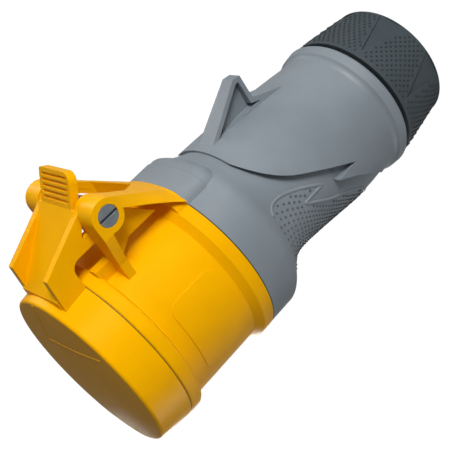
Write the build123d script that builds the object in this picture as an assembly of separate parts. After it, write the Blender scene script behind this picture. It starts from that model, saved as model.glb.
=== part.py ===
from build123d import *
import os
from math import asin, atan2, cos, hypot, pi, radians, sin, tan

# Millimetres. +Z runs along the coupler's axis from the gland nut to the lid.
# The hinge is on the -Y side and the hinge screw's head faces -X.
# The origin is the middle of the nut's rear face, on which the coupler stands.

# Lengths along the axis
nut_length = 28.5
nut_gap = 2.0
handle_length = 95.0
housing_length = 46.0
lid_gap = 0.3
lid_depth = 14.3

# Outer radius that the lid, the housing's front bead and the handle's collar share
shell_r = 36.9

# Front housing
bead_height = 2.6
tube_wall = 3.0
bead_width = 5.7
bead_ease = 0.8
mouth_ease = 0.5
flange_proud = 0.1
flange_width = 5.0
flange_chamfer = 3.0
shroud_depth = 37.5
bulkhead = 3.5
spigot_length = 13.0
spigot_wall = 3.0
key_width = 6.0
key_depth = 1.8
key_rib_width = 10.0
key_rib_height = 1.4
root_depth = 1.5  # outer ribs start this deep in the tube's wall
label_back = 24.0
label_length = 31.0
label_width = 22.6
label_corner_r = 4.0
label_raise = 0.35

# Platform on the hinge side of the flange and the collar
pad_rise = 2.0
pad_half_width = 19.0
pad_crown_r = 60.0
pad_corner_r = 8.0

# Hinge
hinge_back = 17.6
hinge_height = 53.0
boss_r = 6.4
ear_inner = 14.3
ear_outer = 23.2
ear_foot_outer = 20.0
ear_sink = 9.0
ear_edge_drop = 2.0
rib_thick = 4.2
leg_lead = 0.8
ear_web = 2.2
web_clear = 4.1
web_top = 3.0
web_rear = 10.5
web_front = 4.0
web_step = 3.5
roof_thick = 3.0
roof_slot_half = 11.5
roof_slot_end = 40.0
roof_slot_taper = 8.0
roof_slot_gap = 0.5
guide_half = 15.0
guide_width = 4.5
guide_length = 7.8
guide_rise = 1.9

# Lid
lid_taper = 1.6
lid_wall = 2.6
lid_dome = 1.2
lid_edge_r = 1.2
lug_half = 2.0
lug_reach = 0.9
lug_length = 7.0
lug_root = 2.0
lug_below = 1.4  # lug's end below the lid face
arm_half = 14.0
arm_rib = 3.0
arm_floor = 2.4
arm_rise = 9.0
arm_tip_back = -9.9
arm_drop = 8.8
arm_corner_r = 4.0
arm_bite = 4.0
arm_foot_back = 3.2
notch_size = 4.0
notch_rise = 3.0
notch_lead = 0.3
barrel_r = 5.9
tab_rise = 4.4
tab_foot_back = 12.7
tab_length = 12.5
tab_lean = 31.2
tab_half = 10.3
tab_thick = 3.2
tab_corner_r = 4.0
tab_far_corner_r = 1.2
tab_grooves = 5
tab_margin = 1.2
groove_margin = 1.8
groove_width = 1.0
groove_depth = 0.6
seal_thick = 2.6
seal_width = 3.0

# Hinge screw and spring
pin_r = 2.5
screw_head_r = 3.9
screw_head = 2.2
screw_slot = 1.1
screw_slot_depth = 1.2
screw_blind = 3.0
spring_wire = 1.2
spring_pitch = 1.6
spring_turns = 9
spring_clear = 0.3
spring_leg = 7.5

# Insert with the contacts
carrier_ring = 6.3
carrier_recess = 3.0
carrier_edge_gap = 0.9
carrier_flange = 4.0
carrier_tail = 8.5
base_length = 14.0
base_step = 0.6
contact_edge = 9.8
line_pin_r = 3.0
earth_pin_r = 4.0
pin_clear = 0.1
entry_clear = 0.6
entry_lead = 0.8  # how much wider the entry is at the front
access_clear = 0.6
sleeve_wall = 1.5
sleeve_recess = 2.0
sleeve_slot = 0.8
sleeve_slot_length = 22.0
contact_seat = 6.0
contact_collar = 2.0
contact_collar_step = 1.4
head_r = 6.2
wire_r = 3.2
wire_depth = 10.0
clip_thick = 0.8
clip_width = 4.0
clip_back = 6.0
clip_opening = 1.4
terminal_screw_r = 2.0
terminal_screw_proud = 0.3
terminal_screw_height = 5.0
wire_bite = 0.5
driver_slot = 0.8
driver_slot_depth = 0.9
contact_angles = {"line": 270.0, "neutral": 30.0, "earth": 150.0}

# Fasteners of the insert
carrier_screw_r = 1.25
carrier_screw_head_r = 2.1
carrier_screw_head = 1.8
carrier_screw_floor = 0.8
base_screw_r = 1.5
base_screw_head_r = 2.8
base_screw_head = 2.0
base_screw_bite = 6.0
screw_tip_gap = 0.3

# Handle
body_front_step = 2.8
body_middle_step = 4.3
body_rear_step = 7.4
collar_wall = 3.5
collar_length = 13.0
neck_length = 11.1
waist_back = 9.4
waist_step = 7.7
neck_hollow = 1.65  # how late the neck swells towards the collar
grip_start = 8.5
grip_swell = 0.5
grip_lean = 3.7
grip_lean_start = 14.2
grip_lean_ease = 1.25
grip_stations = 4
neck_stations = 6
handle_wall = 2.8
pad_length = 10.0
pad_root = 20.0
pad_step = 0.3
bulge_length = 17.5
bulge_round = 5.5
seal_gap = 1.7
flare_proud = 0.8
flare_slope = 0.5
flare_width = 8.0
flare_rim = 1.1
flare_corner = 5.0
flare_dip = 6.4
flare_dip_step = 0.5
thread_r = 24.0
thread_wall = 3.7
thread_gap = 5.1
funnel_start = 7.0
gap_ring_depth = 1.7
gap_ring = 0.9
wave_tip_back = 39.6
wave_tip_height = 0.4
wave_notch_back = 28.2
wave_notch_height = 0.7
wave_bend_height = 30.0
wave_mid_height = 21.5
wave_mid_back = 6.1
wave_low_height = 14.5
wave_low_back = 14.9
wave_rear_back = 9.0
wave_rear_height = -27.0
wave_turn_back = 16.7
wave_turn_height = -18.4
wave_return_height = -5.2
wave_return_back = 1.7
fin_rise = 10.5
fin_front_back = 3.9
fin_peak_back = 26.4
fin_peak_width = 3.7
fin_tail_back = 45.1
fin_tail_run = 2.0
fin_slant = 0.6
fin_pocket_low = 1.9
fin_sink = 5.5
fin_notch_drop = 0.3
fin_root_drop = 3.4
fin_tail_drop = 5.9
fin_top_half = 2.8
fin_foot_half = 4.8
fin_frame = 2.0
fin_web = 1.6

# Gland
nut_front_r = 30.9
nut_back_r = 27.6
nut_edge_r = 2.5
nut_shoulder = 6.0
nut_mouth_r = 12.5
nut_cone_r = 17.5
nut_mouth_length = 1.5
nut_facets = 7
facet_first = 34.5
facet_half = 13.0
facet_front = 4.2
facet_back = 1.5
facet_depth = 0.9
ring_thick = 1.5
ring_inner_r = 16.4
ring_clear = 0.4
clamp_flange = 1.5
clamp_flange_back = 1.0
clamp_short = 1.0
clamp_inner_r = 14.2
claw_count = 8
claw_length = 3.1
claw_wall = 1.8
claw_slot = 1.6
gland_bore_r = 10.5
gland_seal_length = 14.0

# Clearances
run_fit = 0.3
slip_fit = 0.2
pin_fit = 0.1
clip_fit = 0.05
overcut = 1.0  # how far a cut runs past the face it opens

bead_r = shell_r
lid_r = shell_r
collar_r = shell_r
flange_r = shell_r + flange_proud
tube_r = shell_r - bead_height
pad_height = shell_r + pad_rise
guide_height = tube_r + guide_rise
web_foot = tube_r + web_clear
lid_face_r = lid_r - lid_taper
arm_tip_height = lid_r + arm_rise
arm_under = hinge_height - arm_drop
tab_foot_height = hinge_height + tab_rise

rim_z = nut_length + nut_gap
joint_z = rim_z + handle_length
mouth_z = joint_z + housing_length
bead_z = mouth_z - bead_width
well_z = mouth_z - shroud_depth
bulkhead_z = well_z - bulkhead
collar_z = joint_z - collar_length
wave_z = collar_z - neck_length
spigot_z = joint_z - spigot_length
seat_z = spigot_z - seal_gap
spigot_r = collar_r - collar_wall - run_fit
bore_r = tube_r - tube_wall
ear_foot = tube_r - ear_sink
carrier_r = bore_r - carrier_ring
base_r = carrier_r - base_step
carrier_flange_r = spigot_r - spigot_wall - carrier_edge_gap
contact_circle_r = carrier_r - contact_edge
hinge_z = mouth_z - hinge_back
lid_z = mouth_z + lid_gap
lid_face_z = mouth_z + lid_depth
carrier_z = mouth_z - carrier_recess
tail_z = bulkhead_z - carrier_flange - carrier_tail
base_z = tail_z - base_length

body_front_r = collar_r - body_front_step
body_middle_r = collar_r - body_middle_step
body_rear_r = collar_r - body_rear_step
waist_r = collar_r - waist_step
waist_z = wave_z - waist_back
grip_z = rim_z + grip_start
wave_tip = wave_z - wave_tip_back
wave_notch = wave_z - wave_notch_back
fin_height = collar_r + fin_rise
fin_root = collar_r - fin_root_drop
fin_notch = collar_r - fin_notch_drop
fin_tail_height = collar_r - fin_tail_drop
fin_peak_z = wave_z - fin_peak_back
flare_r = nut_front_r + flare_proud
gap_ring_r = nut_front_r - gap_ring_depth
thread_bore_r = thread_r - thread_wall
thread_start = nut_shoulder + thread_gap


def side(points):
    """Side outline from (distance towards the hinge, height) pairs, for the YZ plane."""
    return Plane.YZ * Polygon(*[(-h, z) for h, z in points], align=None)


def prism(points, half):
    return extrude(side(points), half, both=True)


def turned(points):
    return revolve(Plane.XZ * Polygon(*points, align=None), Axis.Z)


def tube(outer, inner, low, high):
    return turned([(inner, low), (outer, low), (outer, high), (inner, high)])


def rod(radius, low, high):
    return Pos(0, 0, low) * Cylinder(radius, high - low, align=(Align.CENTER, Align.CENTER, Align.MIN))


def cross_rod(radius, x_low, x_high, h, z):
    """Cylinder along X at distance h towards the hinge."""
    disc = Plane.YZ.offset(x_low) * Pos(-h, z) * Circle(radius)
    return extrude(disc, x_high - x_low)


def slab(x_low, x_high, y_low, y_high, z_low, z_high):
    centre = ((x_low + x_high) / 2, (y_low + y_high) / 2, (z_low + z_high) / 2)
    return Pos(*centre) * Box(x_high - x_low, y_high - y_low, z_high - z_low)


def pad_outline(extra, foot):
    """Crowned platform section towards the hinge, as a face in XY."""
    top = -(pad_height + extra)
    half = pad_half_width + extra
    edge = top + half**2 / (2 * (pad_crown_r + extra))
    crown = ThreePointArc((-half, edge), (0, top), (half, edge))
    sides = Polyline((half, edge), (half, -foot), (-half, -foot), (-half, edge))
    face = make_face(Curve() + [crown, sides])
    corners = face.vertices().sort_by(Axis.Y)[:2]
    return fillet(corners, pad_corner_r)


def pad(low, high, extra=0.0):
    return extrude(Pos(0, 0, low) * pad_outline(extra, pad_root), high - low, dir=(0, 0, 1))


def roof_tangent():
    """Where the straight roof line from the flange platform touches the hinge boss."""
    rear = mouth_z - joint_z
    reach = hypot(rear - hinge_back, hinge_height - pad_height)
    dip = atan2(hinge_height - pad_height, rear - hinge_back) + asin(boss_r / reach)
    return hinge_back + boss_r * sin(dip), hinge_height + boss_r * cos(dip), tan(dip)


def ear_section(height):
    """Section through both ears: upright beside the boss, drafted towards the tube."""
    bend = hinge_height - boss_r
    half = [
        (ear_foot_outer, -ear_foot), (ear_foot_outer, -tube_r), (ear_outer, -bend), (ear_outer, -height),
    ]
    return half + [(-x, y) for x, y in reversed(half)]


def hinge_envelope():
    """Block over the ears with a ruled roof from the level boss down to the crowned flange."""
    back, level, _ = roof_tangent()
    edge = pad_height - ear_foot_outer**2 / (2 * pad_crown_r) - ear_edge_drop
    upper = (tube_r + edge) / 2 - 0.5
    lower = tube_r - 1.0
    near = Pos(0, 0, mouth_z - back) * Polygon(*ear_section(level), align=None)
    crown = ThreePointArc((-ear_foot_outer, -edge), (0, -pad_height), (ear_foot_outer, -edge))
    leg = [(ear_foot_outer, -height) for height in (edge, upper, lower, ear_foot)]
    legs = Polyline(*leg, *[(-x, y) for x, y in reversed(leg)])
    far = Pos(0, 0, joint_z) * make_face(Curve() + [crown, legs])
    front = Pos(0, 0, mouth_z - back) * Polygon(*ear_section(hinge_height + 2 * boss_r), align=None)
    return loft([far, near], ruled=True) + extrude(front, back, dir=(0, 0, 1))


def ear_outline():
    """Boss, upper rib and lower rib of an ear in side view, as one face."""
    back, level, fall = roof_tangent()
    rear = mouth_z - joint_z
    drop = rib_thick * hypot(1, fall)
    boss = Plane.YZ * Pos(-hinge_height, hinge_z) * Circle(boss_r)
    rib = side([
        (level, mouth_z - back), (level - drop, mouth_z - back),
        (pad_height - drop, joint_z), (pad_height, joint_z),
    ])
    front = hinge_back - boss_r
    leg = side([
        (hinge_height, mouth_z - front), (hinge_height, mouth_z - front - rib_thick),
        (ear_foot, mouth_z - front - rib_thick), (ear_foot, mouth_z - front - leg_lead),
    ])
    return boss + rib + leg


def web_outline():
    """Thin web of an ear between boss, upper rib and tube, in side view."""
    return side([
        (hinge_height + web_top, hinge_z), (web_foot, joint_z + web_rear),
        (web_foot, hinge_z - web_front), (web_foot - web_step, hinge_z + leg_lead),
        (web_foot - web_step, hinge_z + web_front), (hinge_height, hinge_z + web_front),
    ])


def both_sides(piece):
    return piece + mirror(piece, Plane.YZ)


def label_field():
    """Slightly raised rounded field on each flank of the housing."""
    field = RectangleRounded(label_length, label_width, label_corner_r)
    plate = Plane.YZ.offset(-tube_r - label_raise) * Pos(0, mouth_z - label_back) * field
    return extrude(plate, tube_r / 2) & tube(tube_r + label_raise, tube_r - root_depth, well_z, bead_z)


def carrier_screw_places():
    """Three places in the ring between the insert and the edge of its flange."""
    circle = (carrier_r + carrier_flange_r + 2 * run_fit) / 2
    return [Rot(0, 0, 90 + 120 * i) * Pos(circle, 0, 0) for i in range(3)]


def front_housing():
    outer_points = [
        (spigot_r - spigot_wall, spigot_z), (spigot_r, spigot_z), (spigot_r, joint_z),
        (flange_r, joint_z), (flange_r, joint_z + flange_width),
        (tube_r, joint_z + flange_width + flange_chamfer), (tube_r, bead_z - bead_ease),
        (bead_r - mouth_ease, bead_z), (bead_r, bead_z + bead_ease), (bead_r, mouth_z - mouth_ease),
        (bead_r - mouth_ease, mouth_z), (bore_r, mouth_z), (bore_r, well_z),
        (carrier_r + run_fit, well_z), (carrier_r + run_fit, bulkhead_z),
        (spigot_r - spigot_wall, bulkhead_z),
    ]
    body = turned(outer_points)
    wall = rod(tube_r - root_depth, joint_z - overcut, mouth_z + overcut)

    envelope = hinge_envelope()
    ear_prism = extrude(ear_outline(), ear_outer + overcut, both=True)
    web_prism = extrude(web_outline(), ear_inner + ear_web, both=True)
    gap = slab(-ear_inner, ear_inner, -2 * hinge_height, -ear_foot, joint_z - overcut, mouth_z)
    ears = ((ear_prism + web_prism) & envelope) - gap

    back, level, fall = roof_tangent()
    drop = roof_thick * hypot(1, fall)
    roof_side = prism([
        (level + overcut, mouth_z - back), (level - drop, mouth_z - back),
        (pad_height - drop, joint_z), (pad_height + overcut, joint_z),
    ], ear_inner + 0.5)
    slot_front = hinge_z - boss_r - roof_slot_gap
    slot_bend = mouth_z - roof_slot_end + roof_slot_taper
    slot_half = [(-ear_inner, mouth_z), (-ear_inner, slot_front), (-roof_slot_half, slot_bend)]
    slot_plan = Plane.XZ * Polygon(
        *slot_half, (0, mouth_z - roof_slot_end), *[(-x, z) for x, z in reversed(slot_half)], align=None
    )
    roof = (roof_side & envelope) - extrude(slot_plan, 2 * hinge_height)

    guides = both_sides(slab(
        guide_half - guide_width, guide_half, -guide_height, -ear_foot,
        bead_z - guide_length, bead_z + bead_ease,
    ))
    key_rib = slab(
        -key_rib_width / 2, key_rib_width / 2, ear_foot, tube_r + key_rib_height, joint_z, mouth_z - overcut
    )
    flange_pad = pad(joint_z, joint_z + flange_width)
    housing = body + both_sides(label_field()) + ((flange_pad + ears + roof + guides + key_rib) - wall)

    key_groove = slab(
        -key_width / 2, key_width / 2, bore_r - key_depth, bore_r + key_depth, well_z, mouth_z + overcut
    )
    head_floor = -ear_outer + screw_head
    blind = ear_outer - screw_blind
    pin_hole = cross_rod(pin_r + pin_fit, head_floor - overcut, blind, hinge_height, hinge_z)
    head_hole = cross_rod(screw_head_r + pin_fit, -ear_outer - overcut, head_floor, hinge_height, hinge_z)
    housing = housing - key_groove - pin_hole - head_hole
    for place in carrier_screw_places():
        housing = housing - place * rod(carrier_screw_r, bulkhead_z - overcut, well_z - carrier_screw_floor)
    return housing


def arm_side():
    """Side outline of one rib of the lid's arm: hinge barrel, front edge and rounded underside."""
    tip_z = mouth_z - arm_tip_back
    reach = hypot(tip_z - hinge_z, hinge_height - arm_tip_height)
    swing = atan2(tip_z - hinge_z, arm_tip_height - hinge_height) - asin(barrel_r / reach)
    touch_h = hinge_height + barrel_r * sin(swing)
    touch_z = hinge_z - barrel_r * cos(swing)
    blade = side([
        (lid_r - arm_bite, tip_z + 0.8), (arm_tip_height, tip_z), (touch_h, touch_z),
        (hinge_height, hinge_z), (hinge_height - barrel_r, hinge_z),
        (arm_under, hinge_z + barrel_r), (arm_under, lid_z), (lid_r - arm_bite, lid_z),
    ])
    corner = blade.vertices().sort_by_distance((0, -arm_under, lid_z))[0]
    blade = fillet(corner, arm_corner_r)
    return blade + Plane.YZ * Pos(-hinge_height, hinge_z) * Circle(barrel_r)


def tab_plane():
    """Plane on the front of the thumb tab, its Y running from the foot to the tip."""
    lean = radians(tab_lean)
    origin = (0, -tab_foot_height, mouth_z - tab_foot_back)
    return Plane(origin, x_dir=(-1, 0, 0), z_dir=(0, -sin(lean), cos(lean)))


def thumb_tab():
    """Leaning plate with rounded tip corners and moulded grip grooves."""
    flat = Pos(0, (tab_length - overcut) / 2) * Rectangle(2 * tab_half, tab_length + overcut)
    flat = fillet(flat.vertices().sort_by(Axis.Y)[-2:].sort_by(Axis.X)[-1], tab_corner_r)
    flat = fillet(flat.vertices().sort_by_distance((-tab_half, tab_length))[0], tab_far_corner_r)
    plate = extrude(tab_plane() * flat, -tab_thick)
    pitch = (tab_length - 2 * tab_margin) / tab_grooves
    for i in range(tab_grooves):
        middle = tab_margin + pitch * (i + 0.5)
        groove = Pos(0, middle) * Rectangle(2 * (tab_half - groove_margin), groove_width)
        plate = plate - extrude(tab_plane() * groove, groove_depth, both=True)
    return plate


def lid_cup():
    """Shallow cup with a domed face, a seat for the seal and a hollow behind the face."""
    top = lid_face_z + lid_dome
    outline = Polyline((lid_face_r, lid_face_z), (lid_r, lid_z), (0, lid_z), (0, top))
    arc = ThreePointArc((lid_face_r, lid_face_z), (lid_face_r / 2, lid_face_z + lid_dome * 3 / 4), (0, top))
    cup = revolve(Plane.XZ * make_face(Curve() + [outline, arc]), Axis.Z)
    edge = cup.edges().filter_by(GeomType.CIRCLE).sort_by_distance((lid_face_r, 0, lid_face_z))[0]
    cup = fillet(edge, lid_edge_r)
    lug_r = lid_face_r + lug_reach
    cup = cup + slab(
        -lug_half, lug_half, lid_face_r - lug_root, lug_r, lid_face_z - lug_length, lid_face_z - lug_below
    )
    seat_top = mouth_z + seal_thick
    hollow_top = lid_face_z - lid_wall
    cup = cup - rod(seal_outer() + slip_fit, lid_z - overcut, seat_top)
    return cup - rod(bore_r - 1.0, lid_z - overcut, hollow_top)


def seal_outer():
    return bore_r + seal_width


def lid():
    """Cup, two-ribbed arm with its floor, hinge barrels and thumb tab in one moulding."""
    rib = extrude(arm_side(), arm_half, both=True)
    high_z = 2 * lid_face_z
    rib = rib - slab(-arm_half + arm_rib, arm_half - arm_rib, -2 * hinge_height, 0, 0, high_z)
    foot_z = mouth_z - tab_foot_back
    low_h = lid_r - slip_fit
    low_z = lid_face_z - arm_foot_back
    run = Vector(tab_foot_height - low_h, foot_z - low_z).normalized()
    back_h = run.Y * arm_floor
    back_z = -run.X * arm_floor
    floor = prism([
        (low_h, low_z), (tab_foot_height, foot_z), (tab_foot_height + back_h, foot_z + back_z),
        (low_h + back_h, low_z + back_z), (low_h - arm_rib, low_z + back_z), (low_h - arm_rib, low_z),
    ], arm_half - arm_rib / 2)
    solid = lid_cup() + (rib - rod(lid_face_r - 2.0, 0, high_z)) + floor + thumb_tab()
    spring_room = pin_r + spring_clear + spring_wire + run_fit
    inner = arm_half - arm_rib
    solid = solid - cross_rod(spring_room, -inner, inner, hinge_height, hinge_z)
    solid = solid - cross_rod(pin_r + run_fit, -arm_half - 1, arm_half + 1, hinge_height, hinge_z)
    notch_h = hinge_height - notch_lead
    notch_z = hinge_z + barrel_r
    notch = prism([
        (notch_h, notch_z + notch_lead), (notch_h - notch_size, notch_z),
        (notch_h - notch_size, notch_z + notch_rise),
    ], arm_half + overcut)
    return solid - notch


def lid_seal():
    return tube(seal_outer(), bore_r, mouth_z, mouth_z + seal_thick)


def hinge_screw():
    """Cheese head flush with the near ear and a shank that ends in the far one."""
    head = cross_rod(screw_head_r, -ear_outer, -ear_outer + screw_head, hinge_height, hinge_z)
    shank = cross_rod(pin_r, -ear_outer, ear_outer - screw_blind, hinge_height, hinge_z)
    slot = slab(
        -ear_outer - overcut, -ear_outer + screw_slot_depth, -hinge_height - screw_slot / 2,
        -hinge_height + screw_slot / 2, hinge_z - boss_r, hinge_z + boss_r,
    )
    return head + shank - slot


def lid_spring():
    """Close-wound torsion spring on the screw, one leg behind the tab and one towards the tube."""
    radius = pin_r + spring_clear + spring_wire / 2
    length = spring_pitch * spring_turns
    coil = Helix(spring_pitch, length, radius)
    section = Plane(coil @ 0, z_dir=coil % 0) * Circle(spring_wire / 2)
    wound = sweep(section, path=coil, is_frenet=True)
    first = extrude(section, -spring_leg)
    last = extrude(Plane(coil @ 1, z_dir=coil % 1) * Circle(spring_wire / 2), spring_leg)
    spring = Pos(0, 0, -length / 2) * (wound + first + last)
    return Pos(0, -hinge_height, hinge_z) * Rot(0, 90, 0) * Rot(0, 0, 90) * spring


def contact_pin_r(name):
    return earth_pin_r if name == "earth" else line_pin_r


def contact_place(name):
    return Rot(0, 0, contact_angles[name]) * Pos(contact_circle_r, 0, 0)


def sleeve_r(name):
    return contact_pin_r(name) + pin_clear + sleeve_wall


def sleeve_room(name):
    return sleeve_r(name) + clip_thick + slip_fit


def outward_rod(radius, length):
    """Cylinder from a contact's axis outwards at the height of its terminal screw."""
    return Pos(0, 0, base_z + terminal_screw_height) * Rot(0, 90, 0) * rod(radius, 0, length)


def contact(name):
    """Turned sleeve with slit fingers, a seat, a collar and a drilled terminal head."""
    bore = contact_pin_r(name) + pin_clear
    front = carrier_z - sleeve_recess
    seat = tail_z + contact_seat
    piece = rod(sleeve_r(name), tail_z, front) + rod(sleeve_room(name) - pin_fit, tail_z, seat)
    piece = piece + rod(head_r + contact_collar_step, tail_z, tail_z + contact_collar)
    piece = piece + rod(head_r, base_z, tail_z)
    piece = piece - rod(bore, seat, front + overcut) - rod(wire_r, base_z - overcut, base_z + wire_depth)
    cut = front - sleeve_slot_length
    for turn in (0, 90):
        slit = slab(-head_r, head_r, -sleeve_slot / 2, sleeve_slot / 2, cut, front + overcut)
        piece = piece - Rot(0, 0, turn) * slit
    return contact_place(name) * (piece - outward_rod(terminal_screw_r, 2 * head_r))


def spring_clip(name):
    """Steel ring that presses the sleeve's fingers together, open on one side."""
    inner = sleeve_r(name) + clip_fit
    top = carrier_z - sleeve_recess - clip_back
    ring = tube(inner + clip_thick, inner, top - clip_width, top)
    opening = slab(0, head_r * 2, -clip_opening / 2, clip_opening / 2, top - 2 * clip_width, top + overcut)
    return contact_place(name) * (ring - opening)


def terminal_screw(name):
    """Slotted grub screw that bites on the wire in the terminal head."""
    length = head_r - wire_r + wire_bite + terminal_screw_proud
    slot = slab(
        -driver_slot / 2, driver_slot / 2, -head_r, head_r, length - driver_slot_depth, length + overcut
    )
    screw = Rot(0, 90, 0) * (rod(terminal_screw_r, 0, length) - slot)
    return contact_place(name) * Pos(wire_r - wire_bite, 0, base_z + terminal_screw_height) * screw


def contact_entry(narrow):
    """Cut for the lead-in cone in front of a sleeve, narrow at the sleeve's end."""
    front = carrier_z - sleeve_recess
    spread = entry_lead * (sleeve_recess + overcut) / sleeve_recess
    return turned([
        (0, front - overcut), (narrow, front - overcut), (narrow, front),
        (narrow + spread, carrier_z + overcut), (0, carrier_z + overcut),
    ])


def contact_carrier():
    """Insulating insert: contact bores with narrow lead-in entries, flange and tail."""
    foot = bulkhead_z - carrier_flange
    body = rod(carrier_r, tail_z, carrier_z) + rod(carrier_flange_r, foot, bulkhead_z)
    for name in contact_angles:
        room = rod(sleeve_room(name), tail_z - overcut, carrier_z - sleeve_recess)
        entry = contact_entry(contact_pin_r(name) + entry_clear)
        step = rod(head_r + contact_collar_step + slip_fit, tail_z - overcut, tail_z + contact_collar)
        body = body - contact_place(name) * (room + entry + step)
    for place in carrier_screw_places():
        body = body - place * rod(carrier_screw_r + pin_fit, foot - overcut, bulkhead_z + overcut)
    return body - rod(base_screw_r + pin_fit, tail_z - overcut, tail_z + base_screw_bite)


def carrier_base():
    """Insulating block behind the insert that surrounds the terminal heads."""
    body = rod(base_r, base_z, tail_z)
    for name in contact_angles:
        access = outward_rod(terminal_screw_r + access_clear, base_r)
        head_room = rod(head_r + slip_fit, base_z - overcut, tail_z + overcut)
        body = body - contact_place(name) * (head_room + access)
    body = body - rod(base_screw_r + pin_fit, base_z - overcut, tail_z + overcut)
    return body - rod(base_screw_head_r + slip_fit, base_z - overcut, base_z + base_screw_head)


def end_slot(low):
    """Screwdriver slot in a screw head whose face is at height low."""
    return slab(
        -head_r, head_r, -driver_slot / 2, driver_slot / 2, low - overcut, low + driver_slot_depth
    )


def base_screw():
    shank = rod(base_screw_r, base_z + base_screw_head, tail_z + base_screw_bite - screw_tip_gap)
    head = rod(base_screw_head_r, base_z, base_z + base_screw_head)
    return head + shank - end_slot(base_z)


def carrier_screws():
    """Three screws through the insert's flange into the housing's bulkhead."""
    foot = bulkhead_z - carrier_flange
    shank = rod(carrier_screw_r, foot, well_z - carrier_screw_floor - screw_tip_gap)
    head = rod(carrier_screw_head_r, foot - carrier_screw_head, foot)
    screw = head + shank - end_slot(foot - carrier_screw_head)
    return Compound([place * screw for place in carrier_screw_places()])


def housing_seal():
    return tube(spigot_r, spigot_r - spigot_wall + run_fit, seat_z, spigot_z)


def grip_ring(z):
    """Height, shift towards the hinge and radius of the hollowed grip at height z."""
    if z < waist_z:
        share = (z - grip_z) / (waist_z - grip_z)
        lean = max(0, z - rim_z - grip_lean_start) / (waist_z - rim_z - grip_lean_start)
        radius = body_rear_r + (waist_r - body_rear_r) * share + grip_swell * sin(pi * share)
        return z, grip_lean * sin(pi / 2 * lean) ** 2, radius
    share = min(1, (z - waist_z) / (collar_z - waist_z))
    swell = sin(pi / 2 * share**neck_hollow) ** 2
    shift = grip_lean * abs(cos(pi / 2 * share)) ** grip_lean_ease
    return z, shift, waist_r + (collar_r - waist_r) * swell


def grip_sections():
    """Rings of the loft from the flare to the waist and on to the collar."""
    low = [grip_z + (waist_z - grip_z) * i / grip_stations for i in range(grip_stations)]
    high = [waist_z + (collar_z - waist_z) * i / neck_stations for i in range(neck_stations + 1)]
    return [grip_ring(z) for z in low + high]


def grip_loft(inset):
    rings = [Pos(0, -shift, z) * Circle(radius - inset) for z, shift, radius in grip_sections()]
    return loft(rings)


def wave_side():
    """Side outline of the raised body: the wave down each flank with its pointed notch."""
    out = 2 * collar_r
    rear = rim_z - overcut
    start = (out, wave_z)
    bend = (wave_bend_height, wave_z)
    low = (wave_low_height, wave_z - wave_low_back)
    lines = Polyline(
        low, (wave_tip_height, wave_tip), (wave_notch_height, wave_notch),
        (wave_return_height, wave_tip + wave_return_back), (wave_turn_height, rim_z + wave_turn_back),
        (wave_rear_height, rim_z + wave_rear_back), (-out, rim_z + wave_rear_back),
        (-out, rear), (out, rear), start,
    )
    arc = ThreePointArc(bend, (wave_mid_height, wave_z - wave_mid_back), low)
    flipped = make_face(Curve() + [Line(start, bend), arc, lines])
    return Plane.YZ * mirror(flipped, Plane.YZ)


def raised_body():
    """Slightly barrelled body of the handle, cut to the wave."""
    rear = rim_z + flare_width
    middle = (rear + wave_z) / 2
    bow = ThreePointArc((body_rear_r, rear), (body_middle_r, middle), (body_front_r, wave_z + 1))
    dip = (body_rear_r + flare_dip_step, rim_z + flare_dip)
    corner = (flare_r - flare_slope, rim_z + flare_corner)
    flare = ThreePointArc((body_rear_r, rear), dip, corner)
    rest = Polyline(
        corner, (flare_r, rim_z + flare_rim), (nut_front_r, rim_z),
        (0, rim_z), (0, wave_z + 1), (body_front_r, wave_z + 1),
    )
    whole = revolve(Plane.XZ * make_face(Curve() + [bow, flare, rest]), Axis.Z)
    return whole & extrude(wave_side(), collar_r, both=True)


def fin_side(foot):
    """Side outline of the hook, its lower line at height foot above the axis."""
    front = wave_z - fin_front_back
    run = (front - fin_peak_z) / (fin_height - fin_root)
    tail = wave_z - fin_tail_back
    rear = fin_peak_z - fin_peak_width
    return side([
        (foot, front + (fin_root - foot) * run), (fin_height, fin_peak_z),
        (fin_height - fin_slant, rear), (fin_notch, rear),
        (fin_tail_height, tail), (foot, tail + fin_tail_run),
    ])


def fin():
    """Hook-shaped fin with drafted flanks and a pocket on each side."""
    low = fin_root - fin_sink
    blade = extrude(fin_side(low), fin_foot_half + overcut, both=True)
    high = fin_height + fin_frame
    wedge_face = Polygon(
        (-fin_foot_half, -low), (fin_foot_half, -low),
        (fin_top_half, -high), (-fin_top_half, -high), align=None,
    )
    wedge = extrude(Pos(0, 0, rim_z) * wedge_face, handle_length, dir=(0, 0, 1))
    pocket = offset(fin_side(fin_root - fin_pocket_low), -fin_frame, kind=Kind.INTERSECTION)
    for flank in (1, -1):
        cut = extrude(pocket, flank * 2 * fin_foot_half, dir=(1, 0, 0))
        blade = blade - Pos(flank * fin_web / 2, 0, 0) * cut
    return blade & wedge


def bulge():
    """Swell behind the platform with rounded rear edges."""
    rear = joint_z - bulge_length
    swell = pad(rear, joint_z, -pad_step)
    edges = swell.edges().filter_by(lambda edge: abs(edge.center().Z - rear) < 0.1)
    return fillet(edges.filter_by(lambda edge: edge.center().Y < -pad_root - 2), bulge_round)


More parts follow.
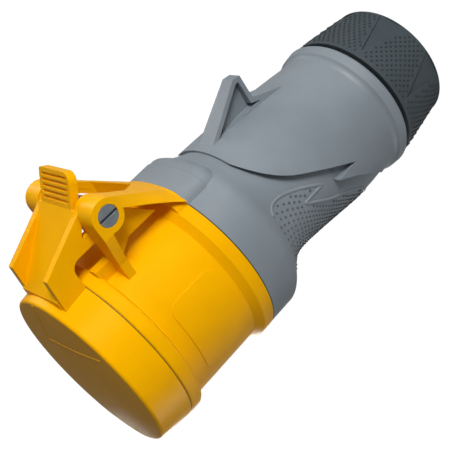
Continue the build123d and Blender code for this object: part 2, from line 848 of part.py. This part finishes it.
def handle():
    """Hollow handle with collar, platform, fin, wave and the thread for the nut."""
    outer = grip_loft(0) + raised_body() + rod(collar_r, collar_z, joint_z)
    outer = outer + bulge() + pad(joint_z - pad_length, joint_z) + fin()
    outer = outer + rod(thread_r, thread_start, rim_z + overcut)
    outer = outer + rod(gap_ring_r, rim_z - gap_ring, rim_z + overcut)
    low_z, _, low_r = grip_sections()[0]
    funnel_z = rim_z + funnel_start
    funnel = turned([
        (0, funnel_z), (thread_bore_r, funnel_z), (low_r - handle_wall, low_z), (0, low_z),
    ])
    hollow = grip_loft(handle_wall) - rod(collar_r, seat_z, joint_z)
    hollow = hollow + rod(spigot_r - spigot_wall + run_fit, seat_z - 2, joint_z + overcut)
    hollow = hollow + rod(spigot_r + run_fit, seat_z, joint_z + overcut)
    hollow = hollow + funnel + rod(thread_bore_r, thread_start - overcut, funnel_z + 0.5)
    return outer - hollow


def facet_cut(index):
    """Flat-floored pocket that narrows to a point towards the handle."""
    slope = (nut_front_r - nut_back_r) / nut_length
    apex_z = nut_length - facet_front
    floor_r = nut_back_r - facet_depth
    plane = Plane((floor_r, 0, 0), x_dir=(0, 1, 0), z_dir=(1, 0, -slope))
    half = nut_back_r * sin(radians(facet_half))
    tip = apex_z * hypot(1, slope)
    wedge = plane * Polygon((-half, facet_back), (half, facet_back), (0, tip), align=None)
    return Rot(0, 0, -90 - facet_first - 360 * index / nut_facets) * extrude(wedge, nut_back_r / 4)


def gland_nut():
    """Tapered cap nut with smooth pointed facets, bore, cone and cable mouth."""
    outline = [
        (nut_mouth_r, 0), (nut_back_r, 0), (nut_front_r, nut_length), (thread_r + run_fit, nut_length),
        (thread_r + run_fit, nut_shoulder), (nut_cone_r, nut_shoulder), (nut_mouth_r, nut_mouth_length),
    ]
    nut = turned(outline)
    edge = nut.edges().filter_by(GeomType.CIRCLE).sort_by_distance((nut_back_r, 0, 0))[0]
    nut = fillet(edge, nut_edge_r)
    for i in range(nut_facets):
        nut = nut - facet_cut(i)
    return nut


def gland_ring():
    return tube(thread_r - ring_clear, ring_inner_r, nut_shoulder, nut_shoulder + ring_thick)


def gland_clamp():
    """Strain relief: flange on the thread's end, tube in its bore and slotted claws."""
    outer = thread_bore_r - run_fit
    flange_low = thread_start - clamp_flange
    body = tube(outer, clamp_inner_r, thread_start, thread_start + gland_seal_length - clamp_short)
    body = body + tube(thread_r - clamp_flange_back, clamp_inner_r, flange_low, thread_start)
    claws = tube(clamp_inner_r + claw_wall, clamp_inner_r, flange_low - claw_length, flange_low)
    for i in range(claw_count // 2):
        cut = slab(-thread_r, thread_r, -claw_slot / 2, claw_slot / 2, 0, flange_low)
        claws = claws - Rot(0, 0, 360 * i / claw_count) * cut
    return body + claws


def gland_seal():
    low = thread_start - clamp_flange
    return tube(clamp_inner_r - pin_fit, gland_bore_r, low, low + gland_seal_length)


pieces = {
    "front_housing": front_housing(),
    "lid": lid(),
    "lid_seal": lid_seal(),
    "hinge_screw": hinge_screw(),
    "lid_spring": lid_spring(),
    "contact_carrier": contact_carrier(),
    "carrier_base": carrier_base(),
    "base_screw": base_screw(),
    "carrier_screws": carrier_screws(),
    "housing_seal": housing_seal(),
    "handle": handle(),
    "gland_nut": gland_nut(),
    "gland_ring": gland_ring(),
    "gland_clamp": gland_clamp(),
    "gland_seal": gland_seal(),
}
for name in contact_angles:
    pieces["contact_" + name] = contact(name)
    pieces["spring_clip_" + name] = spring_clip(name)
    pieces["terminal_screw_" + name] = terminal_screw(name)

os.makedirs("parts", exist_ok=True)
for name, piece in pieces.items():
    export_step(piece, f"parts/{name}.step")
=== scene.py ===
import bpy
import numpy as np
from mathutils import Matrix, Vector
from mathutils.bvhtree import BVHTree


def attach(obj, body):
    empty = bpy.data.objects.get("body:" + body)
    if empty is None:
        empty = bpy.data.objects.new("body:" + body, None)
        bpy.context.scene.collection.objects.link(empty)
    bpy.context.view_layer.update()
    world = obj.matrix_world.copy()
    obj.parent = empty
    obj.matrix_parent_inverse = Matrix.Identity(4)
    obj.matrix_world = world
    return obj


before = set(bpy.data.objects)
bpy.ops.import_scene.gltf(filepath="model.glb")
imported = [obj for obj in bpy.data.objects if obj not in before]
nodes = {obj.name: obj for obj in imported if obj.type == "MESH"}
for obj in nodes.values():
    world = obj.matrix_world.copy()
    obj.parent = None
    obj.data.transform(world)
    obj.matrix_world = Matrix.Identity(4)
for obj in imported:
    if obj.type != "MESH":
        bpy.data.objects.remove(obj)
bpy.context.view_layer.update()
print("frame loaded,", len(nodes), "nodes")

# The coupler stands on the gland nut: +Z runs up to the lid and -Y is the hinge side.
# Blender works in metres; the sizes of the pieces below are in millimetres.
mm = 0.001


# Shader maths: a wrapped socket or number that can be added, taken away and multiplied

class Sock:
    def __init__(self, tree, value):
        self.tree = tree
        self.value = value

    def maths(self, operation, *others):
        values = [self.value] + [o.value if isinstance(o, Sock) else o for o in others]
        return self.tree.node("ShaderNodeMath", {"operation": operation}, dict(enumerate(values)))

    def __add__(self, other):
        return self.maths("ADD", other)

    def __radd__(self, other):
        return self.maths("ADD", other)

    def __sub__(self, other):
        return self.maths("SUBTRACT", other)

    def __rsub__(self, other):
        return Sock(self.tree, other).maths("SUBTRACT", self)

    def __mul__(self, other):
        return self.maths("MULTIPLY", other)

    def __rmul__(self, other):
        return self.maths("MULTIPLY", other)

    def between(self, low, high):
        # 0 below low, 1 above high, smooth in the middle
        return self.tree.node("ShaderNodeMapRange",
                              {"interpolation_type": "SMOOTHSTEP", "clamp": True},
                              {"Value": self, "From Min": low, "From Max": high})


class Finish:
    # one material with its Principled shader, and one method for every other node
    def __init__(self, name):
        self.material = bpy.data.materials.new(name)
        self.material.use_nodes = True
        self.nodes = self.material.node_tree.nodes
        self.links = self.material.node_tree.links
        self.shader = self.nodes["Principled BSDF"]
        self.place = self.node("ShaderNodeTexCoord", {}, {}, out="Object")

    def node(self, kind, settings, inputs, out=0):
        made = self.nodes.new(kind)
        for key, value in settings.items():
            setattr(made, key, value)
        for key, value in inputs.items():
            self.feed(made.inputs[key], value)
        return Sock(self, made.outputs[out])

    def feed(self, socket, value):
        if isinstance(value, Sock):
            value = value.value
        if isinstance(value, bpy.types.NodeSocket):
            self.links.new(value, socket)
        else:
            socket.default_value = value

    def noise(self, scale, detail=2.0, place=None):
        place = place or self.place
        return self.node("ShaderNodeTexNoise", {}, {"Vector": place, "Scale": scale, "Detail": detail})

    def mixColour(self, factor, first, second):
        # 0, 6 and 7 are the factor and the two colours of a Mix node set to colours
        inputs = {0: factor, 6: colour(*first), 7: colour(*second)}
        return self.node("ShaderNodeMix", {"data_type": "RGBA"}, inputs, out=2)

    def rounded(self, radius):
        # a normal that rounds the edges of the CAD node in the light
        return self.node("ShaderNodeBevel", {"samples": 6}, {"Radius": radius})

    def bump(self, height, distance, normal=None):
        inputs = {"Height": height, "Distance": distance, "Strength": 0.6}
        if normal is not None:
            inputs["Normal"] = normal
        return self.node("ShaderNodeBump", {}, inputs)

    def set(self, **values):
        for key, value in values.items():
            self.feed(self.shader.inputs[key.replace("_", " ")], value)


def colour(r, g, b):
    # 0-255 as a screen shows it, to the linear values of a shader
    c = np.array([r, g, b], float) / 255
    c = np.where(c <= 0.04045, c / 12.92, ((c + 0.055) / 1.055) ** 2.4)
    return (float(c[0]), float(c[1]), float(c[2]), 1.0)


# Plastics: edge (the rounding seen at an edge) and grain (its depth) are in millimetres

moulded = {"patchScale": 28.0, "sheenScale": 240.0, "sheenSpread": 0.10, "grainScale": 1900.0}

plastics = {
    "yellow": {"base": (250, 180, 0), "worn": (242, 172, 0),
               "rough": 0.37, "edge": 0.3, "grain": 0.012, "gloss": 0.13, "tint": (1.0, 0.72, 0.12, 1.0)},
    "grey": {"base": (133, 142, 149), "worn": (124, 133, 140),
             "rough": 0.46, "edge": 0.4, "grain": 0.018, "gloss": 0.35},
    "nut": {"base": (66, 76, 80), "worn": (58, 68, 72),
            "rough": 0.48, "edge": 0.4, "grain": 0.020, "gloss": 0.4},
    # greyStud and nutStud are the grey and the nut made darker: painted shade on the studs
    "greyStud": {"base": (88, 95, 101), "worn": (80, 87, 93),
                 "rough": 0.5, "edge": 0.1, "grain": 0.010, "gloss": 0.35},
    "nutStud": {"base": (44, 51, 55), "worn": (38, 45, 49),
                "rough": 0.5, "edge": 0.1, "grain": 0.010, "gloss": 0.4},
    "insulator": {"base": (40, 41, 43), "worn": (34, 35, 37),
                  "rough": 0.5, "edge": 0.3, "grain": 0.012, "gloss": 0.4},
}


def plastic(name, p, m=moulded):
    # the colour drifts a little over the moulding; fine grain lies in the sheen and the surface
    f = Finish(name)
    drift = f.noise(m["patchScale"], 3.0).between(0.35, 0.65)
    f.set(Base_Color=f.mixColour(drift, p["base"], p["worn"]), Specular_IOR_Level=p["gloss"])
    if "tint" in p:
        f.set(Specular_Tint=p["tint"])
    f.set(Roughness=p["rough"] + m["sheenSpread"] * (f.noise(m["sheenScale"]) - 0.5))
    f.set(Normal=f.bump(f.noise(m["grainScale"], 3.0), p["grain"] * mm, f.rounded(p["edge"] * mm)))
    return f.material


# Metals

turned = {"stretch": (1.0, 1.0, 9.0), "patchScale": 300.0, "sheenSpread": 0.16, "grain": 0.01,
          "edge": 0.25}

metals = {
    "screw": {"base": (132, 140, 146), "worn": (120, 128, 134),
              "rough": 0.42, "lines": 900.0, "metal": 0.35},
    "steel": {"base": (170, 172, 175), "worn": (150, 152, 156),
              "rough": 0.30, "lines": 1400.0, "metal": 0.9},
    "brass": {"base": (205, 170, 98), "worn": (184, 148, 80),
              "rough": 0.26, "lines": 1800.0, "metal": 0.9},
}


def metal(name, p, m=turned):
    # turned metal: fine streaks round the part and a slightly uneven tone
    f = Finish(name)
    stretched = f.node("ShaderNodeMapping", {}, {"Vector": f.place, "Scale": m["stretch"]})
    streaks = f.noise(p["lines"], place=stretched)
    tone = f.noise(m["patchScale"], 3.0).between(0.3, 0.7)
    f.set(Base_Color=f.mixColour(tone, p["base"], p["worn"]), Metallic=p["metal"])
    f.set(Roughness=p["rough"] + m["sheenSpread"] * (streaks - 0.5))
    f.set(Normal=f.bump(streaks, m["grain"] * mm, f.rounded(m["edge"] * mm)))
    return f.material


# Rubbers, and the joint rings, whose near-black is partly painted shade of the gaps

dull = {"patchScale": 160.0, "rough": 0.62, "sheenScale": 700.0, "sheenSpread": 0.2,
        "grainScale": 1300.0, "grain": 0.03}

rubbers = {
    "seal": {"base": (28, 28, 29), "dusty": (44, 44, 45)},
    # joint: near-black for the joint rings, partly the seal's colour and partly painted gap shade
    "joint": {"base": (14, 11, 9), "dusty": (22, 18, 15)},
}


def rubber(name, p, m=dull):
    # dull rubber with a little dust and a fine skin
    f = Finish(name)
    dust = f.noise(m["patchScale"], 4.0).between(0.45, 0.75)
    f.set(Base_Color=f.mixColour(dust, p["base"], p["dusty"]))
    f.set(Roughness=m["rough"] + m["sheenSpread"] * (f.noise(m["sheenScale"], 3.0) - 0.5))
    f.set(Normal=f.bump(f.noise(m["grainScale"], 3.0), m["grain"] * mm))
    return f.material


yellowPlastic = plastic("yellow plastic", plastics["yellow"])
greyPlastic = plastic("grey plastic", plastics["grey"])
nutPlastic = plastic("nut plastic", plastics["nut"])
insulator = plastic("insulator", plastics["insulator"])
# the two stud finishes are darker copies of the grey and the nut: painted shade on the studs
greyStudPaintedShade = plastic("grey stud painted shade", plastics["greyStud"])
nutStudPaintedShade = plastic("nut stud painted shade", plastics["nutStud"])
screwSteel = metal("screw steel", metals["screw"])
zincSteel = metal("zinc steel", metals["steel"])
turnedBrass = metal("turned brass", metals["brass"])
sealRubber = rubber("seal rubber", rubbers["seal"])
# the joint finish paints the shade of the gaps as well as the seal's black
sealAndGapShade = rubber("joint seal and shade", rubbers["joint"])
print("finishes made")

finishOfNode = {
    "front_housing": yellowPlastic, "lid": yellowPlastic,
    "handle": greyPlastic, "gland_nut": nutPlastic,
    "lid_seal": sealRubber, "housing_seal": sealRubber, "gland_seal": sealRubber,
    "contact_carrier": insulator, "carrier_base": insulator, "gland_clamp": insulator,
    "hinge_screw": screwSteel, "lid_spring": zincSteel, "gland_ring": zincSteel,
    "carrier_screws": zincSteel, "base_screw": zincSteel,
}
for pole in ("line", "neutral", "earth"):
    finishOfNode["contact_" + pole] = turnedBrass
    finishOfNode["spring_clip_" + pole] = zincSteel
    finishOfNode["terminal_screw_" + pole] = zincSteel
for name, obj in nodes.items():
    obj.data.materials.clear()
    obj.data.materials.append(finishOfNode[name])
print("finishes set")


# Meshes: a new piece, its faces' direction, and a field of studs

def meshPiece(name, verts, faces, material, body, smooth=True):
    mesh = bpy.data.meshes.new(name)
    mesh.from_pydata(verts.tolist(), [], faces)
    mesh.materials.append(material)
    mesh.polygons.foreach_set("use_smooth", np.full(len(mesh.polygons), smooth))
    mesh.update()
    obj = bpy.data.objects.new(name, mesh)
    bpy.context.scene.collection.objects.link(obj)
    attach(obj, body)


def outwardFaces(verts, faces):
    # six times the signed volume under the faces: where it is negative they face in and are turned
    middle = verts.mean(axis=0)
    size = sum(np.dot(verts[f[0]] - middle, np.cross(verts[f[k]] - middle, verts[f[k + 1]] - middle))
               for f in faces for k in range(1, len(f) - 1))
    return faces if size > 0 else [face[::-1] for face in faces]


studShape = {"sides": 8, "rings": [(1.0, -0.5), (0.82, 0.55), (0.45, 0.92)]}  # shares of radius, of height


def studField(name, centres, normals, radius, height, material, body, shape=studShape):
    # each ring of a stud: centre + radius * (cos, sin in the tangent plane) + height * normal;
    # a tip closes it above and one face below
    sides, rings = shape["sides"], shape["rings"]
    turn = np.arange(sides) * 2 * np.pi / sides
    across = np.cross([0.0, 0.0, 1.0], normals)
    across /= np.linalg.norm(across, axis=1)[:, None]
    along = np.cross(normals, across)
    ring = across[:, None, :] * np.cos(turn)[None, :, None]
    ring = ring + along[:, None, :] * np.sin(turn)[None, :, None]
    levels = [centres[:, None, :] + ring * (radius * wide) + normals[:, None, :] * (height * high)
              for wide, high in rings]
    tip = (centres + normals * height)[:, None, :]
    verts = np.concatenate(levels + [tip], axis=1)
    perStud = verts.shape[1]
    corners = [(i, (i + 1) % sides) for i in range(sides)]
    one = [(low + i, low + j, low + sides + j, low + sides + i)
           for low in range(0, (len(rings) - 1) * sides, sides) for i, j in corners]
    last = (len(rings) - 1) * sides
    one += [(last + i, last + j, perStud - 1) for i, j in corners]
    one.append(tuple(range(sides - 1, -1, -1)))
    faces = [tuple(v + k * perStud for v in face) for k in range(len(centres)) for face in one]
    meshPiece(name, verts.reshape(-1, 3), faces, material, body)


def ringPoint(radius, degrees, z):
    # x = -radius * sin and y = -radius * cos of the angle, which is measured in degrees
    # from the hinge side (-Y) towards the screw head side (-X)
    a = np.radians(degrees)
    return np.stack([-radius * np.sin(a), -radius * np.cos(a), z], axis=-1)


# Studs of the gland nut, between its smooth V facets

nutStuds = {
    "front": 30.9, "back": 27.6, "length": 28.5,  # the nut's cone
    "facets": 7, "firstFacet": 34.5, "facetHalf": 13.0, "facetFoot": 2.0, "apex": 24.3,
    "columns": 140, "rows": 9, "firstZ": 1.7, "zStep": 1.73, "zLow": 2.0, "zHigh": 26.4,
    "radius": 0.58, "height": 0.36, "margin": 1.3,
}


def makeNutStuds(p):
    # lattice: every other column is raised by one step; a stud inside a facet's V is left out,
    # and the cone's radius = back + (front - back) * z / length
    column, row = np.meshgrid(np.arange(p["columns"]), np.arange(p["rows"]), indexing="ij")
    degrees = (column * 360 / p["columns"]).ravel()
    z = (p["firstZ"] + 2 * p["zStep"] * row + p["zStep"] * (column % 2)).ravel()
    pitch = 360 / p["facets"]
    away = np.abs((degrees - p["firstFacet"] + pitch / 2) % pitch - pitch / 2)
    slope = (p["front"] - p["back"]) / p["length"]
    radius = p["back"] + (p["front"] - p["back"]) * z / p["length"]
    halfWidth = p["facetHalf"] * np.clip((p["apex"] - z) / (p["apex"] - p["facetFoot"]), 0, 1)
    clear = np.radians(away - halfWidth) * radius > p["margin"]
    keep = clear & (z > p["zLow"]) & (z < p["zHigh"])
    degrees, z, radius = degrees[keep], z[keep], radius[keep]
    centres = ringPoint(radius, degrees, z) * mm
    outward = ringPoint(np.ones_like(z), degrees, np.full_like(z, -slope))
    outward /= np.linalg.norm(outward, axis=1)[:, None]
    studField("nut_studs", centres, outward, p["radius"] * mm, p["height"] * mm,
              nutStudPaintedShade, "gland_nut")
    print("nut studs", len(z))


# Seats and lines: small raised work laid on a node's surface

def treeOf(obj):
    # search tree over a node's faces
    points = [obj.matrix_world @ v.co for v in obj.data.vertices]
    return BVHTree.FromPolygons(points, [tuple(face.vertices) for face in obj.data.polygons])


def seatOn(tree, starts, headings):
    # where rays first meet the node, and the outward normals there
    found = [tree.ray_cast(Vector(a), Vector(d)) for a, d in zip(starts, headings)]
    place = np.array([tuple(hit[0]) for hit in found])
    normal = np.array([tuple(hit[1]) for hit in found])
    facing = np.sign((normal * headings).sum(axis=1))
    return place, -normal * facing[:, None]


outside = 60.0  # a radius clear of the handle


def roundSeat(tree, degrees, z):
    # the seat on the outside at an angle and height: rays run level towards the axis
    starts = ringPoint(np.full_like(z, outside), degrees, z) * mm
    inward = -ringPoint(np.ones_like(z), degrees, np.zeros_like(z))
    return seatOn(tree, starts, inward)


def densify(points, step):
    # the same straight runs with a point about every step
    points = np.array(points, float)
    runs = np.linalg.norm(np.diff(points, axis=0), axis=1)
    along = np.concatenate([[0], np.cumsum(runs)])
    at = np.linspace(0, along[-1], int(along[-1] / step) + 2)
    return np.stack([np.interp(at, along, points[:, i]) for i in range(points.shape[1])], axis=1)


def eased(points, rounds=3):
    # each round moves the inner points halfway to the middle of their neighbours
    points = points.copy()
    for _ in range(rounds):
        points[1:-1] = 0.5 * points[1:-1] + 0.25 * (points[:-2] + points[2:])
    return points


def bead(name, place, normal, width, height, material, body):
    # section: width/2 * cos(t) across and height * sin(t) up, for t from 0 to 180 degrees,
    # closed half a height below the surface and carried along the points of place
    turn = np.linspace(0, np.pi, 7)
    across = np.concatenate([[1.0], np.cos(turn), [-1.0]]) * width / 2
    up = np.concatenate([[-0.5], np.sin(turn), [-0.5]]) * height
    ahead = np.gradient(place, axis=0)
    ahead /= np.linalg.norm(ahead, axis=1)[:, None]
    side = np.cross(ahead, normal)
    side /= np.linalg.norm(side, axis=1)[:, None]
    verts = place[:, None, :] + side[:, None, :] * across[None, :, None]
    verts = verts + normal[:, None, :] * up[None, :, None]
    rings, count = verts.shape[0], verts.shape[1]
    corners = [(i, (i + 1) % count) for i in range(count)]
    faces = [(low + i, low + j, low + count + j, low + count + i)
             for low in range(0, (rings - 1) * count, count) for i, j in corners]
    faces.append(tuple(range(count - 1, -1, -1)))
    faces.append(tuple((rings - 1) * count + i for i in range(count)))
    flat = verts.reshape(-1, 3)
    meshPiece(name, flat, outwardFaces(flat, faces), material, body)


def insideOutline(points, outline):
    # a point is inside when a line from it crosses the outline an odd number of times
    crossings = np.zeros(len(points), int)
    for a, b in zip(outline, np.roll(outline, -1, axis=0)):
        spans = (a[1] > points[:, 1]) != (b[1] > points[:, 1])
        rise = b[1] - a[1] if abs(b[1] - a[1]) > 1e-9 else 1e-9
        crossings += spans & (points[:, 0] < (b[0] - a[0]) * (points[:, 1] - a[1]) / rise + a[0])
    return crossings % 2 == 1


def outlineDistance(points, outline):
    # shortest distance from each point to the outline's straight runs
    best = np.full(len(points), 1e9)
    for a, b in zip(outline, np.roll(outline, -1, axis=0)):
        run = b - a
        t = np.clip(((points - a) @ run) / max(run @ run, 1e-12), 0, 1)
        best = np.minimum(best, np.linalg.norm(points - a - t[:, None] * run, axis=1))
    return best


# Grip faces of the handle: on each flank a raised line and the studs inside it

gripWork = {
    # the raised line, and the unseen closing of its outline: (height, degrees from the hinge side)
    "line": [(105.4, 71.8), (103.9, 67.6), (100.9, 65.8), (96.6, 66.2), (91.5, 69.7), (85.6, 75.6),
             (78.4, 84.2), (83.9, 84.6), (89.7, 85.0), (84.3, 92.0), (78.3, 100.4), (72.0, 106.3),
             (65.3, 113.9), (59.3, 123.8), (56.0, 133.0), (54.5, 143.0)],
    "closing": [(54.5, 152.0), (98.0, 152.0), (105.0, 140.0), (109.0, 125.0), (109.5, 100.8),
                (108.6, 90.0), (107.2, 79.0)],
    "lineWidth": 1.3, "lineHeight": 0.45, "lineStep": 0.8,
    "meanR": 29.0,  # turns degrees into millimetres of arc
    "columns": 36, "firstColumn": 64.5, "columnStep": 2.6,
    "rows": 19, "firstZ": 54.29, "zStep": 1.38,
    "flareFrom": 80.0, "flareScale": 20.0, "flareEnd": 15.7,
    "radius": 0.56, "height": 0.4, "margin": 1.3,
}


def makeGripWork(p):
    # lattice: every other column is raised by one step; studs stay where they clear the outline
    tree = treeOf(nodes["handle"])
    scale = np.array([1.0, np.radians(1) * p["meanR"]])
    outline = np.array(p["line"] + p["closing"]) * scale
    column, row = np.meshgrid(np.arange(p["columns"]), np.arange(p["rows"]), indexing="ij")
    degrees = (p["firstColumn"] + column * p["columnStep"]).ravel()
    level = (p["firstZ"] + 2 * p["zStep"] * row + p["zStep"] * (column % 2)).ravel()
    # rows spread out towards the collar: z = from + scale * tan(rise / scale), past flareEnd
    # with twice the rise on top
    rise = level - p["flareFrom"]
    curved = p["flareScale"] * np.tan(np.clip(rise, 0, p["flareEnd"]) / p["flareScale"])
    straight = 2 * np.maximum(rise - p["flareEnd"], 0)
    z = p["flareFrom"] + np.minimum(rise, 0) + curved + straight
    flatPlace = np.stack([z, degrees], axis=1) * scale
    keep = insideOutline(flatPlace, outline) & (outlineDistance(flatPlace, outline) > p["margin"])
    degrees, z = degrees[keep], z[keep]
    line = eased(densify(np.array(p["line"]) * scale, p["lineStep"])) / scale
    for side, mirrored in (("near", 1.0), ("far", -1.0)):
        centres, outward = roundSeat(tree, degrees * mirrored, z)
        studField("grip_studs_" + side, centres, outward, p["radius"] * mm, p["height"] * mm,
                  greyStudPaintedShade, "coupler")
        place, normal = roundSeat(tree, line[:, 1] * mirrored, line[:, 0])
        bead("grip_line_" + side, place, eased(normal), p["lineWidth"] * mm, p["lineHeight"] * mm,
             greyPlastic, "coupler")
    print("grip studs", 2 * len(z))


# Scribed line on the lid's face: (x, y) of its corners, seen from above

lidLine = {
    "path": [(3.5, -34.0), (5.8, -29.5), (13.0, -14.2), (-6.8, -15.0), (-24.4, -16.5)],
    "width": 0.9, "height": 0.17, "step": 0.7, "easing": 2, "above": 250.0,
}


def makeLidLine(p):
    # a bead along the eased path, dropped on the lid's face from above
    tree = treeOf(nodes["lid"])
    line = eased(densify(p["path"], p["step"]), p["easing"]) * mm
    starts = np.column_stack([line, np.full(len(line), p["above"] * mm)])
    place, normal = seatOn(tree, starts, np.tile([0.0, 0.0, -1.0], (len(line), 1)))
    bead("lid_line", place, normal, p["width"] * mm, p["height"] * mm,
         yellowPlastic, "lid")


# Lining that thickens the roof behind the hinge, with the roof's own slot:
# (x, z) of its outline, and (z, y) of the two ends of the slope that it lies on

roofLining = {
    "outline": [(-14.5, 126.0), (14.5, 126.0), (14.5, 147.0), (11.5, 139.5), (0.0, 131.5),
                (-11.5, 139.5), (-14.5, 147.0)],
    "low": (125.5, -35.09), "high": (149.96, -54.23), "sink": 0.05, "thick": 2.0,
}


def makeRoofLining(p):
    # y = the sloping line between the two ends, sunk a little, and the same line, thick nearer
    # to the axis, with the outline's straight sides between them
    outline = np.array(p["outline"])
    slope = (p["high"][1] - p["low"][1]) / (p["high"][0] - p["low"][0])
    y = p["low"][1] + slope * (outline[:, 1] - p["low"][0])
    layers = [np.column_stack([outline[:, 0], y + lift, outline[:, 1]])
              for lift in (-p["sink"], p["thick"])]
    verts = np.concatenate(layers) * mm
    n = len(outline)
    faces = [tuple(range(n)), tuple(range(2 * n - 1, n - 1, -1))]
    faces += [(i, i + n, (i + 1) % n + n, (i + 1) % n) for i in range(n)]
    meshPiece("roof_lining", verts, outwardFaces(verts, faces),
              yellowPlastic, "coupler", smooth=False)


# Dark joint lines between flange and collar, and under the lid's rim: a near-black ring at each gap's
# mouth, partly the black seal inside and partly painted shade of the deep gap

sealAndShadeLines = {
    "collar_line": {"outer": 36.97, "inner": 36.5, "low": 125.08, "high": 125.5, "steps": 96},
    "rim_line": {"outer": 36.82, "inner": 36.2, "low": 171.5, "high": 171.72, "steps": 96},
}


def makeSealAndShadeLine(name, p):
    # a ring: the four corners of its section, turned about the axis
    steps = p["steps"]
    angle = np.arange(steps) * 360 / steps
    section = [(p["outer"], p["low"]), (p["outer"], p["high"]),
               (p["inner"], p["high"]), (p["inner"], p["low"])]
    corners = [ringPoint(np.full(steps, r), angle, np.full(steps, z)) for r, z in section]
    verts = np.stack(corners, axis=1).reshape(-1, 3) * mm
    quads = [(4 * i, 4 * ((i + 1) % steps), k, (k + 1) % 4) for i in range(steps) for k in range(4)]
    faces = [(here + k, here + j, there + j, there + k) for here, there, k, j in quads]
    meshPiece(name, verts, outwardFaces(verts, faces),
              sealAndGapShade, "coupler", smooth=False)


makeNutStuds(nutStuds)
makeGripWork(gripWork)
makeRoofLining(roofLining)
for lineName, sizes in sealAndShadeLines.items():
    makeSealAndShadeLine(lineName, sizes)
makeLidLine(lidLine)
print("studs and lines made")


# Camera: its place in metres, and its three axes as it stood for the photo

view = {
    "place": (-0.2850, -0.1942, 0.2488), "right": (-0.62020, 0.44834, -0.64370),
    "up": (0.16323, -0.72886, -0.66492), "back": (-0.76728, -0.51745, 0.37886),
    "lens": 76.0, "sensor": 36.0, "nearest": 0.01,
}


def makeCamera(p):
    camera = bpy.data.objects.new("camera", bpy.data.cameras.new("camera"))
    camera.data.lens = p["lens"]
    camera.data.sensor_width = p["sensor"]
    camera.data.clip_start = p["nearest"]
    turn = Matrix((p["right"], p["up"], p["back"])).transposed().to_4x4()
    camera.matrix_world = Matrix.Translation(p["place"]) @ turn
    bpy.context.scene.collection.objects.link(camera)
    bpy.context.scene.camera = camera


# Floor, world and lamps: metres and watts

floorStage = {"size": 6.0, "colour": (0.82, 0.82, 0.82, 1.0), "rough": 0.9, "glow": 1.08, "clear": 0.93}
worldLight = {"onObject": 0.17, "seen": 1.0}
lamps = {
    "key": {"place": (-0.55, -0.98, 0.10), "size": 0.45, "power": 15.0},
    "fill": {"place": (0.80, -0.60, 0.10), "size": 0.4, "power": 2.5},
    "back": {"place": (-0.45, 1.0, 0.02), "size": 0.4, "power": 4.0},
    "far": {"place": (0.75, 0.85, 0.02), "size": 0.4, "power": 9.0},
}
lampsAimAt = (0, 0, 0.1)
white = (1.0, 1.0, 1.0, 1.0)


def makeFloor(p):
    # a square under the nut; seen by the camera it is mostly glow, and the rest takes the shadow
    half = p["size"] / 2
    verts = [(-half, -half, 0), (half, -half, 0), (half, half, 0), (-half, half, 0)]
    mesh = bpy.data.meshes.new("floor")
    mesh.from_pydata(verts, [], [(0, 1, 2, 3)])
    floor = bpy.data.objects.new("floor", mesh)
    bpy.context.scene.collection.objects.link(floor)
    f = Finish("floor")
    f.set(Base_Color=p["colour"], Roughness=p["rough"])
    rays = f.node("ShaderNodeLightPath", {}, {}).value.node.outputs
    seen = Sock(f, rays["Is Camera Ray"]) + Sock(f, rays["Is Transmission Ray"])
    glow = f.node("ShaderNodeEmission", {}, {"Color": white, "Strength": p["glow"]})
    inputs = {0: seen * p["clear"], 1: f.shader.outputs[0], 2: glow}
    mix = f.node("ShaderNodeMixShader", {}, inputs)
    f.links.new(mix.value, f.nodes["Material Output"].inputs["Surface"])
    mesh.materials.append(f.material)


def makeWorld(p):
    # white where the camera sees it, and a dim even light on the object
    world = bpy.data.worlds.new("studio")
    bpy.context.scene.world = world
    world.use_nodes = True
    tree = world.node_tree
    path = tree.nodes.new("ShaderNodeLightPath")
    add = tree.nodes.new("ShaderNodeMath")
    add.operation = "ADD"
    add.use_clamp = True
    tree.links.new(path.outputs["Is Camera Ray"], add.inputs[0])
    tree.links.new(path.outputs["Is Transmission Ray"], add.inputs[1])
    strength = tree.nodes.new("ShaderNodeMapRange")
    strength.inputs["To Min"].default_value = p["onObject"]
    strength.inputs["To Max"].default_value = p["seen"]
    tree.links.new(add.outputs[0], strength.inputs["Value"])
    backdrop = tree.nodes["Background"]
    backdrop.inputs["Color"].default_value = white
    tree.links.new(strength.outputs[0], backdrop.inputs["Strength"])


def areaLamp(name, p):
    light = bpy.data.lights.new(name, "AREA")
    light.size = p["size"]
    light.energy = p["power"]
    lamp = bpy.data.objects.new(name, light)
    lamp.location = p["place"]
    heading = Vector(lampsAimAt) - Vector(p["place"])
    lamp.rotation_euler = heading.to_track_quat("-Z", "Y").to_euler()
    bpy.context.scene.collection.objects.link(lamp)


makeCamera(view)
makeFloor(floorStage)
makeWorld(worldLight)
for lampName, lamp in lamps.items():
    areaLamp(lampName, lamp)
bpy.context.scene.view_settings.view_transform = "Standard"
print("camera, floor and light set")
